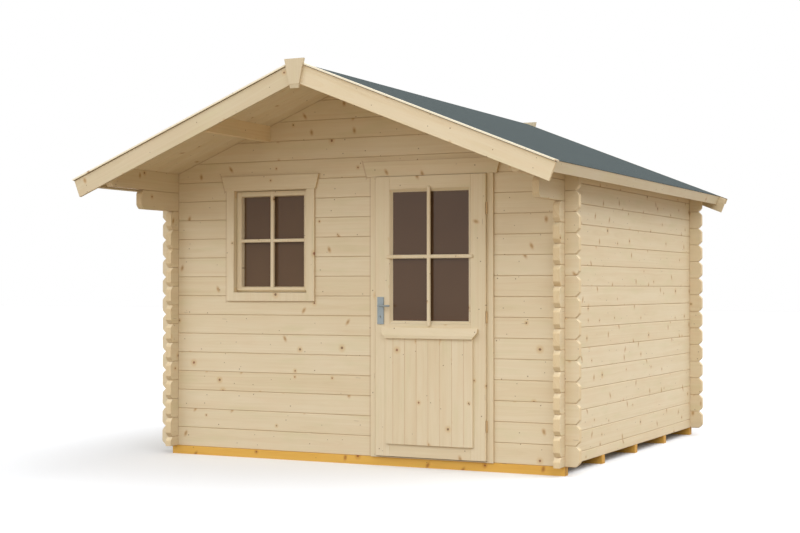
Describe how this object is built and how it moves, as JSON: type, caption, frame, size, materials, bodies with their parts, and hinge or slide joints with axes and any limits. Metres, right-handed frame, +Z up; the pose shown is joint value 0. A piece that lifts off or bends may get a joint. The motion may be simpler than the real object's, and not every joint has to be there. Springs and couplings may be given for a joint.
{
  "type": "log garden house",
  "caption": "Log-built garden house with interlocked corners, a felted gable roof with a deep front overhang, a glazed door that swings outward and a small cross-barred window.",
  "frame": {"origin": "centre of the log footprint, on the ground, at the middle foundation beam's underside", "axes": "+X along the front to the right, +Y from the front wall to the rear wall, +Z up"},
  "size_m": [3.5096, 4.0568, 2.6423],
  "materials": {
    "log_pine": "planed pale spruce logs with knots",
    "treated_pine": "sawn impregnated pine, golden",
    "board_pine": "planed tongued boards",
    "trim_pine": "planed pale trim boards",
    "joinery_pine": "smooth planed joinery",
    "roofing_felt": "mineral roofing felt, slate green-grey",
    "pane": "clear pane over a dark room",
    "fittings": "satin grey metal"
  },
  "bodies": {
    "house": {"foundation_beams": "treated_pine", "floor_boards": "board_pine", "front_wall_left": "log_pine", "front_wall_right": "log_pine", "front_gable": "log_pine", "rear_wall": "log_pine", "rear_gable": "log_pine", "left_wall": "log_pine", "right_wall": "log_pine", "left_purlin": "log_pine", "ridge_purlin": "log_pine", "right_purlin": "log_pine", "roof_boards_left": "board_pine", "roof_boards_right": "board_pine", "roof_felt_left": "roofing_felt", "roof_felt_right": "roofing_felt", "barge_front_left": "trim_pine", "barge_front_right": "trim_pine", "barge_rear_left": "trim_pine", "barge_rear_right": "trim_pine", "verge_strips_front": "trim_pine", "verge_strips_rear": "trim_pine", "apex_board_front": "trim_pine", "apex_board_rear": "trim_pine", "eaves_board_left": "trim_pine", "eaves_board_right": "trim_pine", "window_frame": "joinery_pine", "window_sash": "joinery_pine", "window_beads": "joinery_pine", "window_glass": "pane", "window_trim": "trim_pine", "window_head_board": "trim_pine", "door_frame": "joinery_pine", "door_stops": "joinery_pine", "door_threshold": "joinery_pine", "door_head_board": "trim_pine", "hinge_frame_halves": "fittings"},
    "door": {"door_leaf": "joinery_pine", "door_beads": "joinery_pine", "door_glass": "pane", "door_panel": "joinery_pine", "door_drip_board": "joinery_pine", "hinge_door_halves": "fittings", "handle_plates": "fittings"},
    "lever": {"door_lever": "fittings"}
  },
  "joints": [
    {"name": "door_hinge", "type": "hinge", "parent": "house", "child": "door", "pos_m": [0.972, -1.521, 1.0035], "axis": [0, 0, 1], "range_deg": [0, 100]},
    {"name": "lever_turn", "type": "hinge", "parent": "door", "child": "lever", "pos_m": [0.206, -1.535, 1.074], "axis": [0, 1, 0], "range_deg": [0, 45], "stiffness_Nm_per_rad": 1.5, "springref_deg": -17.19}
  ]
}
